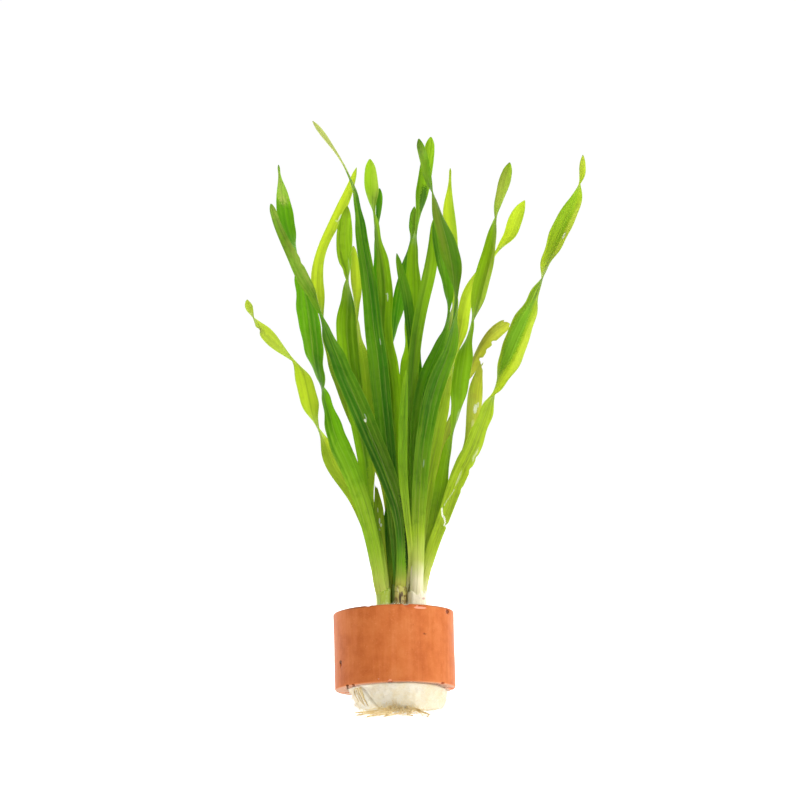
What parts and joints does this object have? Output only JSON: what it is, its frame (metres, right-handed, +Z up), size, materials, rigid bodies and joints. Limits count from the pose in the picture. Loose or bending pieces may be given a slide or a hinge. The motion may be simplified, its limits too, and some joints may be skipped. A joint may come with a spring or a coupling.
{
  "type": "potted vallisneria",
  "caption": "Aquarium plant with long twisted ribbon leaves, its roots wrapped in fleece and held in an open clay ring.",
  "frame": {"origin": "middle of the flat underside of the fleece, on the surface the plant stands on", "axes": "+Z up, +X to the right as seen from the front, the front looks along -Y; the roots lie on the surface towards -Y"},
  "size_m": [0.0995, 0.0752, 0.1696],
  "materials": {
    "clay": "bare fired terracotta, fine-grained and matt",
    "fleece": "cream non-woven fleece, soft and fibrous",
    "crown": "pale blanched stem base, smooth and waxy",
    "leaf": "thin fresh leaf, half matt, lets light through",
    "root": "straw-coloured fleshy root, smooth"
  },
  "bodies": {
    "root": {"clay_ring": "clay", "fleece_wrap": "fleece", "crown_left": "crown", "crown_middle": "crown", "crown_right": "crown", "leaf_left_1": "leaf", "leaf_left_2": "leaf", "leaf_left_3": "leaf", "leaf_left_4": "leaf", "leaf_left_5": "leaf", "leaf_middle_1": "leaf", "leaf_middle_2": "leaf", "leaf_middle_3": "leaf", "leaf_middle_4": "leaf", "leaf_middle_5": "leaf", "leaf_middle_6": "leaf", "leaf_middle_7": "leaf", "leaf_middle_8": "leaf", "leaf_middle_9": "leaf", "leaf_right_1": "leaf", "leaf_right_2": "leaf", "leaf_right_3": "leaf", "leaf_right_4": "leaf", "leaf_right_5": "leaf", "leaf_right_6": "leaf", "leaf_right_7": "leaf", "leaf_right_8": "leaf", "leaf_right_9": "leaf", "leaf_right_10": "leaf", "root_1": "root", "root_2": "root", "root_3": "root", "root_4": "root", "root_5": "root", "root_6": "root"}
  },
  "joints": []
}
